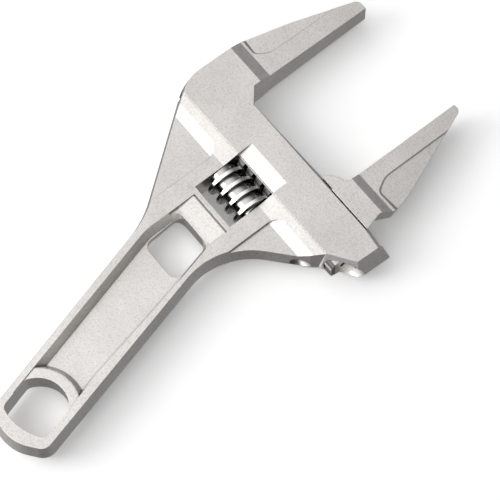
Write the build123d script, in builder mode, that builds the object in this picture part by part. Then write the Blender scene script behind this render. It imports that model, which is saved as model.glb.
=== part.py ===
from build123d import *
import os
from math import cos, radians, sin, sqrt, tan

# Wide-opening adjustable wrench, millimetres, lying flat: X is the way the jaw slides, Y points along the
# jaws, and Z is up. The head's own origin is the throat corner at mid-thickness. The tool's origin is under
# the middle of the whole tool, on the surface that it lies on.
MIDDLE_X = 25.2
MIDDLE_Y = -44.6
MID_Z = 8.2

# Thicknesses, each as half of the symmetrical section.
HEAD_HALF = 7.0
RIM_HALF = 5.4
RIM_HALF_AT_BEAM = 6.6
RECESS_HALF = 4.4
WEB_HALF = 1.25
ARCH_HALF = 5.0
BRIDGE_HALF_TOP = 5.1
BRIDGE_HALF_FOOT = 4.2
BLADE_HALF_ROOT = 5.7
BLADE_HALF_TIP = 4.2
BLOCK_HALF = 6.7
NUB_HALF = 4.6
PLATE_DRAFT = 18.0
BEAM_DRAFT = 26.0
CLEAR = 2.0
FAR_LEFT = -40.0
FAR = 130.0

# Beam and head.
BEAM_REAR = -17.1
RIM_LEVEL_Y = -24.0
JAW_FACE_X = -5.9
LIP_FULL_X = 56.0
ROOT_Y = 8.1
BLADE_START_Y = 12.7
TIP_Y = 58.8
TIP_TRIM_Y = 59.6

# Hollow ground into the back of each blade.
HOLLOW_STEP = 0.5
HOLLOW_TILT = 5.0
HOLLOW_DRAFT = 45.0
FIXED_HOLLOW_X = -13.7
MOVING_HOLLOW_X = 53.15

# Handle: its axis leans from -Y towards +X.
HANDLE_LEAN = 15.0
POCKET_LEFT_X = 14.3
POCKET_RIGHT_X = 33.5
POCKET_LEFT_W = -2.2
POCKET_RIGHT_W = 19.5
POCKET_RIGHT_FOOT_W = 17.5
BRIDGE_TOP_Y = -39.9
GROOVE_TOP_Y = -39.2
GROOVE_HALF = 4.6
HOLE_TOP_Y = -47.8
POCKET_TOP_Y = -47.1
POCKET_TOP_R = 4.0
STEEP_DRAFT = 21.0
STEEP_INSET = 6.0
HOLE_FOOT_Y = -65.3
HOLE_CORNER_R = 3.5
ARCH_W = 8.2
ARCH_H = 140.5
ARCH_R = 15.6
HANG_R = 11.8
HANG_LEFT_W = -1.9
HANG_RIGHT_W = 17.6
HANG_FOOT_H = 149.0
HANG_FOOT_SIDE_H = 146.6
HANG_CORNER_R = 2.5

# Moving jaw and the rack bar that carries it.
MOVING_FACE_X = 46.2
JAW_LEAN = 12.0
BLOCK_GAP = 0.5
BAR_R = 5.0
BAR_BORE_R = 5.06
BAR_Y = -14.5
BAR_LEFT = 12.0
BAR_RIGHT = 68.2
BORE_BLIND_X = -22.5
TANG_HALF = 2.4
SLOT_HALF = 2.5
TANG_LEFT = 38.2
TANG_RIGHT = 55.5
TANG_FOOT_Y = -15.4
JAW_CLOSE_TRAVEL = 34.0
JAW_OPEN_TRAVEL = 16.0
SLOT_END_GAP = 0.35
LOCK_R = 1.5
LOCK_Y = -12.9
LOCK_LEFT = 48.0
LOCK_RIGHT = 67.6
LOCK_HEX = 1.5

# Worm and rack.
PITCH = 5.0
WORM_Y = -25.2
WORM_R = 8.2
WORM_ROOT_R = 5.8
WORM_LEFT = 12.6
WORM_RIGHT = 32.3
THREAD_CREST = 1.3
THREAD_BASE = 2.1
CREST_AT_RACK_X = 17.5
PIN_R = 2.0
PIN_HEAD_R = 2.6
PIN_LEFT = 5.0
PIN_SHOULDER = 33.2
PIN_RIGHT = 45.0
PIN_CLEARANCE = 0.05
PIN_END_GAP = 0.5
DRIVER_DEPTH = 1.2
DRIVER_HALF = 0.4
SPRING_SEAT_R = 3.6
SPRING_SEAT_DEPTH = 4.0
SPRING_R = 2.85
SPRING_WIRE_R = 0.3
SPRING_TURNS = 4
RACK_TIP_Y = -18.9
RACK_ROOT_Y = -16.8
GROOVE_TIP_WIDTH = 2.33
GROOVE_ROOT_WIDTH = 1.63
GROOVE_SLANT = -0.109
RACK_GROOVES = 11
WINDOW_LEFT = 12.15
WINDOW_RIGHT = 32.7
WINDOW_TOP = -16.5
WINDOW_FOOT = -37.3
RELIEF_TOP = -10.5
RELIEF_HALF = 5.5

HEAD = Plane(origin=(-MIDDLE_X, -MIDDLE_Y, MID_Z))
LEAN = radians(HANDLE_LEAN)
HANDLE = Plane(origin=HEAD.origin, x_dir=(cos(LEAN), sin(LEAN), 0), z_dir=(0, 0, 1))


def on_handle(w, h):
    """A point w across the handle and h down it, in the head's plan."""
    return (w * cos(LEAN) + h * sin(LEAN), w * sin(LEAN) - h * cos(LEAN))


def handle_line(w, y):
    """The point at height y on the line that runs down the handle at w across it."""
    return ((w - y * sin(LEAN)) / cos(LEAN), y)


def plan(corners, level=0.0, growth=0.0):
    """A closed outline in the head's plan, from corners (x, y, rounding), at a level above mid-thickness."""
    with BuildSketch(HEAD.offset(level)) as outline:
        with BuildLine():
            if any(corner[2] for corner in corners):
                FilletPolyline(
                    *[corner[:2] for corner in corners], radius=[corner[2] for corner in corners], close=True
                )
            else:
                Polyline(*[corner[:2] for corner in corners], close=True)
        make_face()
        if growth:
            offset(amount=growth, kind=Kind.INTERSECTION)
    return outline.sketch


def across(x, y):
    """The plane across the slide direction at x, with its origin at y and mid-thickness."""
    return Plane(origin=(x - MIDDLE_X, y - MIDDLE_Y, MID_Z), x_dir=(0, 1, 0), z_dir=(1, 0, 0))


def section(x, points):
    """A closed outline (y, z) across the slide direction at x, with its mirror image below mid-thickness."""
    with BuildSketch(across(x, 0)) as outline:
        with BuildLine():
            Polyline(*points, close=True)
        make_face()
        mirror(about=Plane.XZ)
    return outline.sketch


def round_section(x, y, radius):
    """A disc across the slide direction, at x, centred at y and mid-thickness."""
    with BuildSketch(across(x, y)) as disc:
        Circle(radius)
    return disc.sketch


def slab(x_left, x_right, y_low, y_high, half):
    """A block between two X and two Y positions in the head's plan, reaching half above and half below."""
    with BuildPart() as block:
        with BuildSketch(HEAD):
            with Locations(((x_left + x_right) / 2, (y_low + y_high) / 2)):
                Rectangle(x_right - x_left, y_high - y_low)
        extrude(amount=half, both=True)
    return block.part


def blade_hollow(line_x, side):
    """The hollow in a blade's upper back: a tilted floor beside a line along it, rounded at its root."""
    slope = (BLADE_HALF_ROOT - BLADE_HALF_TIP) / (TIP_Y - BLADE_START_Y)
    along = Vector(0, 1, -slope)
    outward = Vector(side * cos(radians(HOLLOW_TILT)), 0, -sin(radians(HOLLOW_TILT)))
    up = outward.cross(along) * side
    floor = Plane(
        origin=(line_x - MIDDLE_X, -MIDDLE_Y, MID_Z + BLADE_HALF_ROOT + slope * BLADE_START_Y - HOLLOW_STEP),
        x_dir=along,
        z_dir=up,
    )
    with BuildPart() as hollow:
        with BuildSketch(floor):
            with BuildLine():
                FilletPolyline(
                    (75, 0),
                    (19.5, 0),
                    (14.4, -side * 3.2),
                    (16.5, -side * 22),
                    (75, -side * 22),
                    radius=[0, 8, 2, 0, 0],
                    close=True,
                )
            make_face()
        extrude(amount=8, taper=-HOLLOW_DRAFT)
    return hollow.part


# Wrench body: one casting, drafted both ways from a parting line at mid-thickness.
CASTING = [
    (JAW_FACE_X, TIP_Y, 0),
    (-9.6, 58.8, 2),
    (-18.3, 33.0, 60),
    (-23.8, 12.5, 40),
    (-24.3, -12.0, 16),
    (11.1, -58.6, 45),
    (*on_handle(-3.8, 149.5), 5),
    (*on_handle(8.0, 154.9), 15),
    (*on_handle(19.8, 149.8), 3.5),
    (33.8, -44.2, 30),
    (59.7, -21.5, 0),
    (63.2, BEAM_REAR, 0),
    (63.2, -8.0, 0),
    (0.0, -8.0, 0),
    (0.0, 0.0, 0),
    (-3.3, 2.9, 0),
    (JAW_FACE_X, 5.0, 0),
]
BEAM = [
    (-10.0, 0.0, 0),
    (64.9, 0.0, 0),
    (73.4, -1.0, 0),
    (73.0, -10.2, 0),
    (63.2, BEAM_REAR, 0),
    (-10.0, BEAM_REAR, 0),
]
lip = HEAD_HALF * tan(radians(BEAM_DRAFT))
plate_growth = HEAD_HALF * tan(radians(PLATE_DRAFT))
MOUTH = [
    (0.0, 0.0, 0),
    (-3.3, 2.9, 0),
    (JAW_FACE_X, 5.0, 0),
    (JAW_FACE_X, 66.0, 0),
    (LIP_FULL_X, 66.0, 0),
    (LIP_FULL_X, lip, 0),
]
top = HEAD_HALF + 2 * CLEAR
LOWERED_RIM = [
    (BEAM_REAR, RIM_HALF_AT_BEAM),
    (RIM_LEVEL_Y, RIM_HALF),
    (-160.0, RIM_HALF),
    (-160.0, top),
    (BEAM_REAR, top),
]
THINNED_BLADE = [
    (ROOT_Y, HEAD_HALF),
    (BLADE_START_Y, BLADE_HALF_ROOT),
    (TIP_Y, BLADE_HALF_TIP),
    (66.0, BLADE_HALF_TIP),
    (66.0, top),
    (ROOT_Y, top),
]
WINDOW_RELIEF = [
    (RELIEF_TOP, HEAD_HALF),
    (WINDOW_TOP, RELIEF_HALF),
    (WINDOW_TOP - CLEAR, RELIEF_HALF),
    (WINDOW_TOP - CLEAR, top),
    (RELIEF_TOP, top),
]
BRIDGE_TOP = [
    (BRIDGE_TOP_Y, BRIDGE_HALF_TOP),
    (POCKET_TOP_Y, BRIDGE_HALF_FOOT),
    (POCKET_TOP_Y - POCKET_TOP_R, BRIDGE_HALF_FOOT),
    (POCKET_TOP_Y - POCKET_TOP_R, top),
    (BRIDGE_TOP_Y, top),
]
RECESS_FLOOR = [
    (-20.6, 6.05),
    (-25.1, RECESS_HALF),
    (-80.0, RECESS_HALF),
    (-80.0, top),
    (-20.6, top),
]
with BuildPart() as left_recess:
    extrude(section(FAR_LEFT, RECESS_FLOOR), amount=FAR)
    extrude(
        plan([(FAR_LEFT, -20.7, 0), (6.4, -20.7, 6.5), (6.4, -80, 0), (FAR_LEFT, -80, 0)]),
        amount=top,
        both=True,
        mode=Mode.INTERSECT,
    )
with BuildPart() as right_recess:
    extrude(section(FAR_LEFT, RECESS_FLOOR), amount=FAR)
    extrude(
        plan([(90, -20.7, 0), (40.05, -20.7, 5), (40.05, -50, 0), (90, -50, 0)]),
        amount=top,
        both=True,
        mode=Mode.INTERSECT,
    )

pocket_shrink = (RIM_HALF - WEB_HALF) * tan(radians(BEAM_DRAFT))
steep_shrink = (RIM_HALF - WEB_HALF) * tan(radians(STEEP_DRAFT))
floor_left_w = POCKET_LEFT_W + pocket_shrink
floor_right_w = POCKET_RIGHT_W - steep_shrink
STEEP_SIDE = [
    (POCKET_LEFT_X + STEEP_INSET, POCKET_TOP_Y, 0),
    (POCKET_RIGHT_X, POCKET_TOP_Y, POCKET_TOP_R),
    (*on_handle(POCKET_RIGHT_W, 81.0), 0),
    (*on_handle(POCKET_RIGHT_FOOT_W, 116.0), 0),
    (*on_handle(POCKET_RIGHT_FOOT_W, 134.0), 0),
    (*on_handle(POCKET_LEFT_W + STEEP_INSET, 134.0), 0),
    (*handle_line(POCKET_LEFT_W + STEEP_INSET, -61.9), 0),
]
POCKET = [
    (POCKET_LEFT_X, POCKET_TOP_Y, POCKET_TOP_R),
    (POCKET_RIGHT_X, POCKET_TOP_Y, POCKET_TOP_R),
    (*on_handle(POCKET_RIGHT_W, 81.0), 0),
    (*on_handle(POCKET_RIGHT_FOOT_W, 116.0), 0),
    (*on_handle(POCKET_RIGHT_FOOT_W, 134.0), 0),
    (*on_handle(POCKET_LEFT_W, 134.0), 0),
    (*handle_line(POCKET_LEFT_W, -61.9), 20),
]
HANDLE_HOLE = [
    (POCKET_LEFT_X + pocket_shrink, HOLE_TOP_Y, HOLE_CORNER_R),
    (POCKET_RIGHT_X - steep_shrink, HOLE_TOP_Y, HOLE_CORNER_R),
    (*handle_line(floor_right_w, HOLE_FOOT_Y), HOLE_CORNER_R),
    (*handle_line(floor_left_w, HOLE_FOOT_Y), HOLE_CORNER_R),
]
with BuildPart() as pocket:
    extrude(plan(POCKET, level=RIM_HALF), amount=WEB_HALF - RIM_HALF, taper=BEAM_DRAFT)
    extrude(plan(STEEP_SIDE, level=RIM_HALF), amount=WEB_HALF - RIM_HALF, taper=STEEP_DRAFT)
    with BuildSketch(HANDLE.offset(WEB_HALF)):
        with Locations((ARCH_W, -ARCH_H)):
            Circle(ARCH_R + pocket_shrink)
    extrude(amount=RIM_HALF - WEB_HALF, taper=BEAM_DRAFT, mode=Mode.SUBTRACT)
with BuildPart() as arch_step:
    with BuildSketch(HANDLE.offset(ARCH_HALF)):
        with Locations((ARCH_W, -ARCH_H)):
            Circle(ARCH_R)
        with Locations(((POCKET_LEFT_W + POCKET_RIGHT_FOOT_W) / 2, -ARCH_H)):
            Rectangle(POCKET_RIGHT_FOOT_W - POCKET_LEFT_W, 4 * ARCH_R, mode=Mode.INTERSECT)
        with Locations((ARCH_W, -ARCH_H - ARCH_R)):
            Rectangle(4 * ARCH_R, 2 * ARCH_R, mode=Mode.SUBTRACT)
    extrude(amount=CLEAR)
HANG_TOP_LEFT_H = ARCH_H - sqrt(HANG_R**2 - (ARCH_W - HANG_LEFT_W) ** 2)
HANG_TOP_RIGHT_H = ARCH_H - sqrt(HANG_R**2 - (HANG_RIGHT_W - ARCH_W) ** 2)

with BuildPart() as wrench_body:
    extrude(plan(CASTING, growth=plate_growth), amount=HEAD_HALF, both=True, taper=PLATE_DRAFT)
    extrude(plan(BEAM, growth=lip), amount=HEAD_HALF, both=True, taper=BEAM_DRAFT)
    extrude(plan(MOUTH), amount=top, both=True, mode=Mode.SUBTRACT)
    add(slab(FAR_LEFT, 0, TIP_TRIM_Y, FAR, top), mode=Mode.SUBTRACT)
    extrude(section(FAR_LEFT, LOWERED_RIM), amount=FAR, mode=Mode.SUBTRACT)
    extrude(section(FAR_LEFT, THINNED_BLADE), amount=FAR, mode=Mode.SUBTRACT)
    extrude(section(WINDOW_LEFT, WINDOW_RELIEF), amount=WINDOW_RIGHT - WINDOW_LEFT, mode=Mode.SUBTRACT)
    extrude(section(POCKET_LEFT_X, BRIDGE_TOP), amount=POCKET_RIGHT_X - POCKET_LEFT_X, mode=Mode.SUBTRACT)
    for side in (1, -1):
        with BuildSketch(HEAD.offset(side * GROOVE_HALF)):
            with Locations(((POCKET_LEFT_X + POCKET_RIGHT_X) / 2, (GROOVE_TOP_Y + BRIDGE_TOP_Y) / 2)):
                Rectangle(POCKET_RIGHT_X - POCKET_LEFT_X, GROOVE_TOP_Y - BRIDGE_TOP_Y)
        extrude(amount=side * top, mode=Mode.SUBTRACT)
    # The recessed webs on each side of the worm's frame, above and below.
    for tool in (left_recess.part, right_recess.part):
        add(tool, mode=Mode.SUBTRACT)
    # A hollow blade back and a handle pocket on each face.
    for tool in (blade_hollow(FIXED_HOLLOW_X, -1), pocket.part, arch_step.part):
        add(tool, mode=Mode.SUBTRACT)
        add(tool.mirror(HEAD), mode=Mode.SUBTRACT)
    extrude(plan(HANDLE_HOLE), amount=top, both=True, mode=Mode.SUBTRACT)
    with BuildSketch(HANDLE):
        with BuildLine():
            ThreePointArc(
                (HANG_LEFT_W, -HANG_TOP_LEFT_H), (ARCH_W, HANG_R - ARCH_H), (HANG_RIGHT_W, -HANG_TOP_RIGHT_H)
            )
            Line((HANG_RIGHT_W, -HANG_TOP_RIGHT_H), (HANG_RIGHT_W, -HANG_FOOT_SIDE_H))
            ThreePointArc(
                (HANG_RIGHT_W, -HANG_FOOT_SIDE_H), (ARCH_W, -HANG_FOOT_H), (HANG_LEFT_W, -HANG_FOOT_SIDE_H)
            )
            Line((HANG_LEFT_W, -HANG_FOOT_SIDE_H), (HANG_LEFT_W, -HANG_TOP_LEFT_H))
        make_face()
        fillet(vertices(), radius=HANG_CORNER_R)
    extrude(amount=top, both=True, mode=Mode.SUBTRACT)
    # Worm window, the bar's bore with the tang's slot above it, and the hole for the worm's pin.
    add(slab(WINDOW_LEFT, WINDOW_RIGHT, WINDOW_FOOT, WINDOW_TOP, top), mode=Mode.SUBTRACT)
    extrude(round_section(BORE_BLIND_X, BAR_Y, BAR_BORE_R), amount=FAR, mode=Mode.SUBTRACT)
    add(
        slab(
            TANG_LEFT - JAW_CLOSE_TRAVEL - SLOT_END_GAP,
            TANG_RIGHT + JAW_OPEN_TRAVEL + SLOT_END_GAP,
            BAR_Y,
            LIP_FULL_X,
            SLOT_HALF,
        ),
        mode=Mode.SUBTRACT,
    )
    extrude(round_section(PIN_LEFT, WORM_Y, PIN_R + PIN_CLEARANCE), amount=FAR, mode=Mode.SUBTRACT)
    extrude(round_section(PIN_SHOULDER, WORM_Y, PIN_HEAD_R + PIN_CLEARANCE), amount=FAR, mode=Mode.SUBTRACT)

# Moving jaw: a block across the beam's front, a blade, and a tang down through the beam into the rack bar.
JAW_OUTSIDE = [
    (38.0, -6.0, 0),
    (38.0, 58.0, 0),
    (49.6, 60.0, 3),
    (64.4, 21.7, 18),
    (66.2, 13.7, 5),
    (63.25, 8.35, 0),
    (65.2, BLOCK_GAP, 0),
    (66.8, -6.0, 0),
]
JAW_INSIDE = [
    (44.75, BLOCK_GAP, 0),
    (45.1, 6.9, 1.5),
    (MOVING_FACE_X, ROOT_Y, 0),
    (MOVING_FACE_X, 70.0, 0),
    (80.0, 70.0, 0),
    (80.0, BLOCK_GAP, 0),
]
NUB = [
    (40.5, BLOCK_GAP, 0),
    (TANG_LEFT, BLOCK_GAP, 0),
    (TANG_LEFT, 2.4, 1),
    (39.2, 4.4, 1),
    (42.5, 6.8, 2),
    (47.0, 7.5, 0),
    (47.0, BLOCK_GAP, 0),
]
TANG = [
    (TANG_LEFT, TANG_FOOT_Y, 0),
    (TANG_LEFT, 2.4, 1),
    (39.2, 4.4, 1),
    (42.5, 6.8, 2),
    (46.0, 7.5, 0),
    (TANG_RIGHT, 7.5, 0),
    (TANG_RIGHT, TANG_FOOT_Y, 0),
]
LIP_NOTCH = [
    (BLOCK_GAP, HEAD_HALF),
    (BLOCK_GAP + lip, 0.0),
    (-CLEAR, 0.0),
    (-CLEAR, HEAD_HALF),
]
with BuildPart() as moving_jaw:
    extrude(plan(JAW_OUTSIDE, level=BLOCK_HALF), amount=-2 * BLOCK_HALF, taper=JAW_LEAN)
    extrude(plan(JAW_INSIDE), amount=top, both=True, mode=Mode.INTERSECT)
    extrude(plan(NUB), amount=NUB_HALF, both=True)
    extrude(section(0, THINNED_BLADE), amount=FAR, mode=Mode.SUBTRACT)
    add(blade_hollow(MOVING_HOLLOW_X, 1), mode=Mode.SUBTRACT)
    add(blade_hollow(MOVING_HOLLOW_X, 1).mirror(HEAD), mode=Mode.SUBTRACT)
    extrude(section(0, LIP_NOTCH), amount=FAR, mode=Mode.SUBTRACT)
    extrude(plan(TANG), amount=TANG_HALF, both=True)
    extrude(round_section(LOCK_LEFT, LOCK_Y, LOCK_R + PIN_CLEARANCE), amount=FAR, mode=Mode.SUBTRACT)

with BuildPart() as rack_bar:
    extrude(round_section(BAR_LEFT, BAR_Y, BAR_R), amount=BAR_RIGHT - BAR_LEFT)
    add(slab(BAR_LEFT, BAR_RIGHT, BAR_Y - BAR_R, RACK_TIP_Y, BAR_R), mode=Mode.SUBTRACT)
    flare = (GROOVE_TIP_WIDTH - GROOVE_ROOT_WIDTH) / (RACK_ROOT_Y - RACK_TIP_Y)
    mouth_y = RACK_TIP_Y - 1.0
    mouth_width = GROOVE_TIP_WIDTH + flare
    for tooth in range(RACK_GROOVES):
        centre = CREST_AT_RACK_X + (tooth - 1) * PITCH
        groove = [
            (centre - mouth_width / 2, mouth_y, 0),
            (centre + mouth_width / 2, mouth_y, 0),
            (centre + GROOVE_ROOT_WIDTH / 2, RACK_ROOT_Y, 0),
            (centre - GROOVE_ROOT_WIDTH / 2, RACK_ROOT_Y, 0),
        ]
        extrude(plan(groove), amount=BAR_R + 1, both=True, dir=(GROOVE_SLANT, 0, 1), mode=Mode.SUBTRACT)
    add(
        slab(
            TANG_LEFT - PIN_CLEARANCE,
            TANG_RIGHT + PIN_CLEARANCE,
            TANG_FOOT_Y,
            BAR_Y + BAR_R,
            TANG_HALF + PIN_CLEARANCE,
        ),
        mode=Mode.SUBTRACT,
    )
    extrude(round_section(TANG_RIGHT, LOCK_Y, LOCK_R + PIN_CLEARANCE), amount=FAR, mode=Mode.SUBTRACT)

with BuildPart() as jaw_lock_screw:
    extrude(round_section(LOCK_LEFT, LOCK_Y, LOCK_R), amount=LOCK_RIGHT - LOCK_LEFT)
    with BuildSketch(across(LOCK_RIGHT, LOCK_Y)):
        RegularPolygon(LOCK_HEX / 2, 6, major_radius=False)
    extrude(amount=-LOCK_HEX, mode=Mode.SUBTRACT)

# Worm: a left-hand thread on a drum, bored for its pin, with a seat for the spring at its right end.
FIRST_TURN_X = CREST_AT_RACK_X - 2 * PITCH
THREAD_LENGTH = 6 * PITCH
THREAD_FOOT_R = WORM_ROOT_R - 0.6
thread_flare = (THREAD_BASE - THREAD_CREST) / (WORM_R - WORM_ROOT_R) / 2
foot_half = THREAD_CREST / 2 + thread_flare * (WORM_R - THREAD_FOOT_R)
with BuildPart() as worm_blank:
    with BuildLine() as thread_path:
        Helix(PITCH, THREAD_LENGTH, WORM_ROOT_R, lefthand=True)
    with BuildSketch(Plane.XZ):
        with BuildLine():
            Polyline(
                (THREAD_FOOT_R, -foot_half),
                (WORM_R, -THREAD_CREST / 2),
                (WORM_R, THREAD_CREST / 2),
                (THREAD_FOOT_R, foot_half),
                close=True,
            )
        make_face()
    sweep(path=thread_path.line, is_frenet=True)
    with BuildSketch(Plane.XY.offset(-PITCH)):
        Circle(WORM_ROOT_R)
    extrude(amount=THREAD_LENGTH + 2 * PITCH)
WORM_AXIS = across(FIRST_TURN_X, WORM_Y)
with BuildPart() as adjusting_worm:
    add(worm_blank.part.moved(WORM_AXIS.location))
    add(
        slab(WORM_LEFT, WORM_RIGHT, WORM_Y - WORM_R - CLEAR, WORM_Y + WORM_R + CLEAR, top),
        mode=Mode.INTERSECT,
    )
    extrude(round_section(WORM_LEFT, WORM_Y, PIN_R + PIN_CLEARANCE), amount=FAR, mode=Mode.SUBTRACT)
    extrude(
        round_section(WORM_RIGHT - SPRING_SEAT_DEPTH, WORM_Y, SPRING_SEAT_R), amount=FAR, mode=Mode.SUBTRACT
    )

with BuildPart() as worm_pin:
    pin_start = PIN_LEFT + PIN_END_GAP
    extrude(round_section(pin_start, WORM_Y, PIN_R), amount=PIN_SHOULDER - pin_start)
    extrude(round_section(PIN_SHOULDER, WORM_Y, PIN_HEAD_R), amount=PIN_RIGHT - PIN_SHOULDER)
    add(
        slab(PIN_RIGHT - DRIVER_DEPTH, PIN_RIGHT, WORM_Y - PIN_HEAD_R, WORM_Y + PIN_HEAD_R, DRIVER_HALF),
        mode=Mode.SUBTRACT,
    )

spring_left = WORM_RIGHT - SPRING_SEAT_DEPTH + SPRING_WIRE_R + PIN_CLEARANCE
spring_length = WINDOW_RIGHT - SPRING_WIRE_R - spring_left
SPRING_AXIS = across(spring_left, WORM_Y)
with BuildPart() as spring_coil:
    with BuildLine() as wire_path:
        Helix(spring_length / SPRING_TURNS, spring_length, SPRING_R)
    with BuildSketch(Plane(origin=wire_path.line @ 0, z_dir=wire_path.line % 0)):
        Circle(SPRING_WIRE_R)
    sweep(path=wire_path.line, is_frenet=True)
with BuildPart() as worm_spring:
    add(spring_coil.part.moved(SPRING_AXIS.location))

os.makedirs("parts", exist_ok=True)
wrench_body.part.label = "wrench_body"
moving_jaw.part.label = "moving_jaw"
rack_bar.part.label = "rack_bar"
jaw_lock_screw.part.label = "jaw_lock_screw"
adjusting_worm.part.label = "adjusting_worm"
worm_pin.part.label = "worm_pin"
worm_spring.part.label = "worm_spring"
export_step(wrench_body.part, "parts/wrench_body.step")
export_step(moving_jaw.part, "parts/moving_jaw.step")
export_step(rack_bar.part, "parts/rack_bar.step")
export_step(jaw_lock_screw.part, "parts/jaw_lock_screw.step")
export_step(adjusting_worm.part, "parts/adjusting_worm.step")
export_step(worm_pin.part, "parts/worm_pin.step")
export_step(worm_spring.part, "parts/worm_spring.step")
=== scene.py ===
import math

import bpy
from mathutils import Matrix, Vector


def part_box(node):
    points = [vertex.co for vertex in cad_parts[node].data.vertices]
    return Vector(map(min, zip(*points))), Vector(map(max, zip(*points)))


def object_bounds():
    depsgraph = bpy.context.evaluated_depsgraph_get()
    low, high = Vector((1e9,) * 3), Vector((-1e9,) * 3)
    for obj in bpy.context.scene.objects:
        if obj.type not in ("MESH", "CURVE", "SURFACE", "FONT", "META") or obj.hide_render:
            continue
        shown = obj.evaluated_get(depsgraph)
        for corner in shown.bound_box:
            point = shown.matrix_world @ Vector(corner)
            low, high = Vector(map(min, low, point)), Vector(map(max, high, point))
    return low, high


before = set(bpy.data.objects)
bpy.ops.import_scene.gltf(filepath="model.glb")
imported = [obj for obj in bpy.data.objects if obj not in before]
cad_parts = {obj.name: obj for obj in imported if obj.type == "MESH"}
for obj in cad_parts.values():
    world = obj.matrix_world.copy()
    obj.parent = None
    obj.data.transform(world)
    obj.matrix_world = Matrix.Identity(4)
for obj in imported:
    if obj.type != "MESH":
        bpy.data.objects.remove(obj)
cad_box = [list(corner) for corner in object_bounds()]
LOW, HIGH = (Vector(corner) for corner in cad_box)
MIDDLE = (LOW + HIGH) / 2

# ---------------------------------------------------------------- camera
# The view is from above the open side of the head, with the handle running to the lower left of the picture.
AIM = MIDDLE + Vector((0.0174, 0.0087, 0.0))
VIEW_BACK = Vector((0.29838, -0.22649, 0.92718))
VIEW_UP = Vector((-0.72135, 0.58261, 0.37446))
VIEW_DISTANCE = 0.7312
LENS_MM = 144
SENSOR_MM = 36
camera_data = bpy.data.cameras.new("view")
camera_data.lens = LENS_MM
camera_data.sensor_width = SENSOR_MM
camera_data.clip_start = 0.01
camera_data.clip_end = 20
camera = bpy.data.objects.new("view", camera_data)
back = VIEW_BACK.normalized()
right = VIEW_UP.cross(back).normalized()
up = back.cross(right)
turn = Matrix((right, up, back)).transposed().to_4x4()
camera.matrix_world = Matrix.Translation(AIM + back * VIEW_DISTANCE) @ turn
bpy.context.scene.collection.objects.link(camera)
bpy.context.scene.camera = camera


# ---------------------------------------------------------------- materials
class Nodes:
    """A short way to write a node tree."""

    def __init__(self, name):
        self.material = bpy.data.materials.new(name)
        self.material.use_nodes = True
        self.tree = self.material.node_tree
        self.shader = self.tree.nodes["Principled BSDF"]
        self.place = self.add("ShaderNodeTexCoord").outputs["Object"]

    def add(self, kind, **settings):
        node = self.tree.nodes.new(kind)
        for key, value in settings.items():
            setattr(node, key, value)
        return node

    def link(self, out, into):
        self.tree.links.new(out, into)

    def noise(self, scale, detail=4.0, rough=0.5, stretch=(1, 1, 1)):
        mapping = self.add("ShaderNodeMapping")
        mapping.inputs["Scale"].default_value = stretch
        self.link(self.place, mapping.inputs["Vector"])
        node = self.add("ShaderNodeTexNoise")
        node.inputs["Scale"].default_value = scale
        node.inputs["Detail"].default_value = detail
        node.inputs["Roughness"].default_value = rough
        self.link(mapping.outputs["Vector"], node.inputs["Vector"])
        return node.outputs["Fac"]

    def spread(self, value, low, high):
        node = self.add("ShaderNodeMapRange")
        node.inputs["From Min"].default_value = 0.3
        node.inputs["From Max"].default_value = 0.7
        node.inputs["To Min"].default_value = low
        node.inputs["To Max"].default_value = high
        self.link(value, node.inputs["Value"])
        return node.outputs["Result"]

    def ramp(self, value, stops):
        node = self.add("ShaderNodeValToRGB")
        while len(node.color_ramp.elements) < len(stops):
            node.color_ramp.elements.new(0.5)
        for element, (position, colour) in zip(node.color_ramp.elements, stops):
            element.position = position
            element.color = (*colour, 1)
        self.link(value, node.inputs["Fac"])
        return node.outputs["Color"]

    def maths(self, operation, *values):
        node = self.add("ShaderNodeMath", operation=operation)
        for socket, value in zip(node.inputs, values):
            if isinstance(value, (int, float)):
                socket.default_value = value
            else:
                self.link(value, socket)
        return node.outputs[0]

    def vector(self, operation, first, second, output="Vector"):
        node = self.add("ShaderNodeVectorMath", operation=operation)
        self.link(first, node.inputs[0])
        node.inputs[1].default_value = second
        return node.outputs[output]

    def shade(self, colour, by):
        node = self.add("ShaderNodeVectorMath", operation="MULTIPLY")
        self.link(colour, node.inputs[0])
        self.link(by, node.inputs[1])
        return node.outputs["Vector"]

    def inside(self, low, high, tone):
        """tone inside a box in the object's own coordinates, and 1 outside it."""
        split = self.add("ShaderNodeSeparateXYZ")
        self.link(self.place, split.inputs[0])
        held = None
        for axis in range(3):
            away = self.maths("SUBTRACT", split.outputs[axis], (low[axis] + high[axis]) / 2)
            near = self.maths("LESS_THAN", self.maths("ABSOLUTE", away), (high[axis] - low[axis]) / 2)
            held = near if held is None else self.maths("MULTIPLY", held, near)
        return self.maths("MULTIPLY_ADD", held, tone - 1.0, 1.0)

    def bump(self, height, distance, strength, before=None):
        node = self.add("ShaderNodeBump")
        node.inputs["Distance"].default_value = distance
        node.inputs["Strength"].default_value = strength
        self.link(height, node.inputs["Height"])
        if before is not None:
            self.link(before, node.inputs["Normal"])
        return node.outputs["Normal"]


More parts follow.
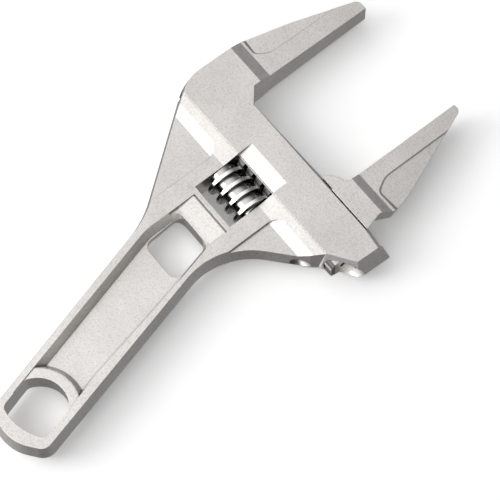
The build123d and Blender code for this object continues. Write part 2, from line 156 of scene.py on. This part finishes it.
def blasted_metal(name, window_shade_box=None):
    """Bead-blasted alloy: a fine grain, faint cloudy tone, soft edges and painted shade in the creases.

    The box given last, as (low, high) in the object's own coordinates, has its walls painted near black, as
    shade inside the worm's window.
    """
    n = Nodes(name)
    cloud = n.noise(45, 3, 0.55)
    grain = n.noise(2600, 2, 0.6)
    grit = n.noise(1500, 3, 0.7)
    speck = n.noise(900, 3, 0.6)
    tone = n.maths("MULTIPLY_ADD", speck, SPECK_SHARE, cloud)
    colour = n.shade(n.ramp(tone, CASTING_TONES), n.ramp(grit, GRIT_TONES))
    # Painted shade: ambient occlusion darkens the colour in creases and corners.
    crease_shade = n.add("ShaderNodeAmbientOcclusion", samples=8, only_local=True)
    crease_shade.inputs["Distance"].default_value = CREASE_SHADE_REACH
    colour = n.shade(colour, n.ramp(crease_shade.outputs["AO"], PAINTED_CREASE_SHADE))
    if window_shade_box is not None:
        # Painted shade: inside the window box the colour is made near black and the metal is turned off.
        window_shade = n.inside(*window_shade_box, WINDOW_SHADE_TONE)
        colour = n.shade(colour, window_shade)
        n.link(window_shade, n.shader.inputs["Metallic"])
    else:
        n.shader.inputs["Metallic"].default_value = 1.0
    n.link(colour, n.shader.inputs["Base Color"])
    n.link(n.spread(speck, *CASTING_ROUGHNESS), n.shader.inputs["Roughness"])
    edge = n.add("ShaderNodeBevel", samples=4)
    edge.inputs["Radius"].default_value = EDGE_ROUND
    fine = n.bump(grain, 0.00004, 0.35, edge.outputs["Normal"])
    n.link(n.bump(speck, 0.00008, 0.25, fine), n.shader.inputs["Normal"])
    return n.material


def turned_steel(name, colour, roughness, along=(1, 60, 60)):
    """Machined steel with fine tool marks."""
    n = Nodes(name)
    marks = n.noise(60, 4, 0.6, along)
    cloud = n.noise(120, 3, 0.5)
    dark = tuple(level * MARK_SHADE for level in colour)
    n.link(n.ramp(marks, [(0.3, dark), (0.7, colour)]), n.shader.inputs["Base Color"])
    n.link(n.spread(cloud, roughness - 0.05, roughness + 0.07), n.shader.inputs["Roughness"])
    n.link(n.bump(marks, 0.00003, 0.3), n.shader.inputs["Normal"])
    n.shader.inputs["Metallic"].default_value = 1.0
    return n.material


def toothed_steel(name, reach, tones, roughness):
    """Machined teeth: a painted highlight at the tips and painted shade in the grooves. reach turns a place
    into 0 to 1.
    """
    n = Nodes(name)
    marks = n.noise(60, 4, 0.6, (60, 1, 1))
    colour = n.shade(n.ramp(reach(n), tones), n.ramp(marks, [(0.3, (0.85, 0.85, 0.85)), (0.7, (1, 1, 1))]))
    n.link(colour, n.shader.inputs["Base Color"])
    n.link(n.spread(n.noise(120, 3, 0.5), roughness - 0.04, roughness + 0.06), n.shader.inputs["Roughness"])
    n.link(n.bump(marks, 0.00002, 0.3), n.shader.inputs["Normal"])
    n.shader.inputs["Metallic"].default_value = 1.0
    return n.material


def worm_reach(n):
    """How far out from the worm's axis, from its bore to its crest."""
    low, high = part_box("adjusting_worm")
    middle = (low + high) / 2
    flat = n.vector("MULTIPLY", n.vector("SUBTRACT", n.place, middle), (0, 1, 1))
    length = n.vector("LENGTH", flat, (0, 0, 0), "Value")
    return n.maths("DIVIDE", length, (high.z - low.z) / 2)


def rack_reach(n):
    """How far in from the tooth tips, over a little more than a tooth's height."""
    low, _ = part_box("rack_bar")
    across = n.add("ShaderNodeSeparateXYZ")
    n.link(n.vector("SUBTRACT", n.place, low), across.inputs[0])
    return n.maths("DIVIDE", across.outputs["Y"], RACK_TOOTH)


CASTING_TONES = [(0.52, (0.73, 0.705, 0.68)), (0.92, (0.84, 0.815, 0.79))]
CASTING_ROUGHNESS = (0.33, 0.44)
SPECK_SHARE = 0.45
GRIT_TONES = [(0.36, (0.80, 0.79, 0.79)), (0.5, (0.97, 0.97, 0.97)), (0.64, (1, 1, 1))]
PAINTED_CREASE_SHADE = [(0.45, (0.36, 0.35, 0.34)), (0.9, (1, 1, 1))]
CREASE_SHADE_REACH = 0.0011
# Painted shade inside the worm's window.
WINDOW_SHADE_TONE = 0.03
EDGE_ROUND = 0.00025
MARK_SHADE = 0.78
RACK_TOOTH = 0.003
# Painted highlight on the worm's crests and painted shade in its grooves, over the steel's own grey.
WORM_GLINT_AND_SHADE = [
    (0.70, (0.62, 0.61, 0.60)),
    (0.745, (0.06, 0.06, 0.06)),
    (0.95, (0.20, 0.20, 0.20)),
    (0.98, (0.95, 0.94, 0.93)),
]
# Painted highlight at the rack's tooth tips and painted shade in its grooves, over the bar's own grey.
RACK_GLINT_AND_SHADE = [
    (0.0, (0.80, 0.78, 0.76)),
    (0.08, (0.60, 0.59, 0.58)),
    (0.2, (0.10, 0.10, 0.10)),
    (0.66, (0.05, 0.05, 0.05)),
    (0.75, (0.45, 0.44, 0.43)),
]
# The worm's window, whose walls get painted shade: a little longer and much wider than the worm, and no
# deeper than the rim around it.
worm_low, worm_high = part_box("adjusting_worm")
WINDOW_SPARE = Vector((0.0003, 0.0043, 0.0))
RIM_DROP = Vector((0, 0, 0.0029))
window_box = (worm_low - WINDOW_SPARE + RIM_DROP, worm_high + WINDOW_SPARE - RIM_DROP)
MATERIALS = {
    "wrench_body": blasted_metal("blasted_body", window_box),
    "moving_jaw": blasted_metal("blasted_jaw"),
    "rack_bar": toothed_steel("machined_rack", rack_reach, RACK_GLINT_AND_SHADE, 0.28),
    "jaw_lock_screw": turned_steel("dark_screw", (0.12, 0.12, 0.13), 0.4),
    "adjusting_worm": toothed_steel("polished_worm", worm_reach, WORM_GLINT_AND_SHADE, 0.14),
    "worm_pin": turned_steel("turned_pin", (0.62, 0.60, 0.58), 0.32),
    "worm_spring": turned_steel("spring_wire", (0.45, 0.45, 0.45), 0.35),
}
for node, material in MATERIALS.items():
    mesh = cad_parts[node].data
    mesh.materials.clear()
    mesh.materials.append(material)

# ---------------------------------------------------------------- studio
FLOOR_REACH = 3.0
FLOOR_GLOW = 0.15
floor_mesh = bpy.data.meshes.new("floor")
floor_mesh.from_pydata(
    [(x * FLOOR_REACH, y * FLOOR_REACH, LOW.z) for x, y in ((-1, -1), (1, -1), (1, 1), (-1, 1))],
    [],
    [(0, 1, 2, 3)],
)
floor = bpy.data.objects.new("floor", floor_mesh)
bpy.context.scene.collection.objects.link(floor)
paper = Nodes("pale_floor")
paper.link(
    paper.ramp(paper.noise(30, 3), [(0.3, (0.93, 0.93, 0.93)), (0.7, (0.96, 0.96, 0.96))]),
    paper.shader.inputs["Base Color"],
)
paper.shader.inputs["Roughness"].default_value = 0.9
paper.shader.inputs["Emission Color"].default_value = (1, 1, 1, 1)
paper.shader.inputs["Emission Strength"].default_value = FLOOR_GLOW
floor_mesh.materials.append(paper.material)
floor.visible_diffuse = False
floor.visible_glossy = False


def soft_light(name, place, size, power, colour=(1, 1, 1)):
    data = bpy.data.lights.new(name, "AREA")
    data.shape = "RECTANGLE"
    data.size, data.size_y = size
    data.energy = power
    data.color = colour
    lamp = bpy.data.objects.new(name, data)
    lamp.location = MIDDLE + Vector(place)
    lamp.rotation_euler = (MIDDLE - lamp.location).to_track_quat("-Z", "Y").to_euler()
    bpy.context.scene.collection.objects.link(lamp)


soft_light("key", (-0.75, -1.2, 0.9), (0.9, 0.7), 9)

# The room is bright towards the lower left of the picture and overhead, and falls away on the other side.
LIGHT_FROM = Vector((-0.45, -0.68, 0.58))
ROOM_TONES = [
    (0.085, 0.30),
    (0.375, 0.16),
    (0.525, 0.20),
    (0.63, 0.50),
    (0.705, 0.77),
    (0.74, 0.90),
    (0.82, 1.16),
    (0.915, 1.5),
]
world = bpy.data.worlds.new("studio")
bpy.context.scene.world = world
world.use_nodes = True
room = world.node_tree
direction = room.nodes.new("ShaderNodeTexCoord")
facing = room.nodes.new("ShaderNodeVectorMath")
facing.operation = "DOT_PRODUCT"
facing.inputs[1].default_value = LIGHT_FROM.normalized()
room.links.new(direction.outputs["Generated"], facing.inputs[0])
share = room.nodes.new("ShaderNodeMapRange")
share.inputs["From Min"].default_value = -1
share.inputs["From Max"].default_value = 1
room.links.new(facing.outputs["Value"], share.inputs["Value"])
tones = room.nodes.new("ShaderNodeValToRGB")
while len(tones.color_ramp.elements) < len(ROOM_TONES):
    tones.color_ramp.elements.new(0.5)
for element, (position, level) in zip(tones.color_ramp.elements, ROOM_TONES):
    element.position = position
    element.color = (level, level, level, 1)
room.links.new(share.outputs["Result"], tones.inputs["Fac"])
room.links.new(tones.outputs["Color"], room.nodes["Background"].inputs["Color"])
room.nodes["Background"].inputs["Strength"].default_value = 1.0
bpy.context.scene.view_settings.view_transform = "Standard"
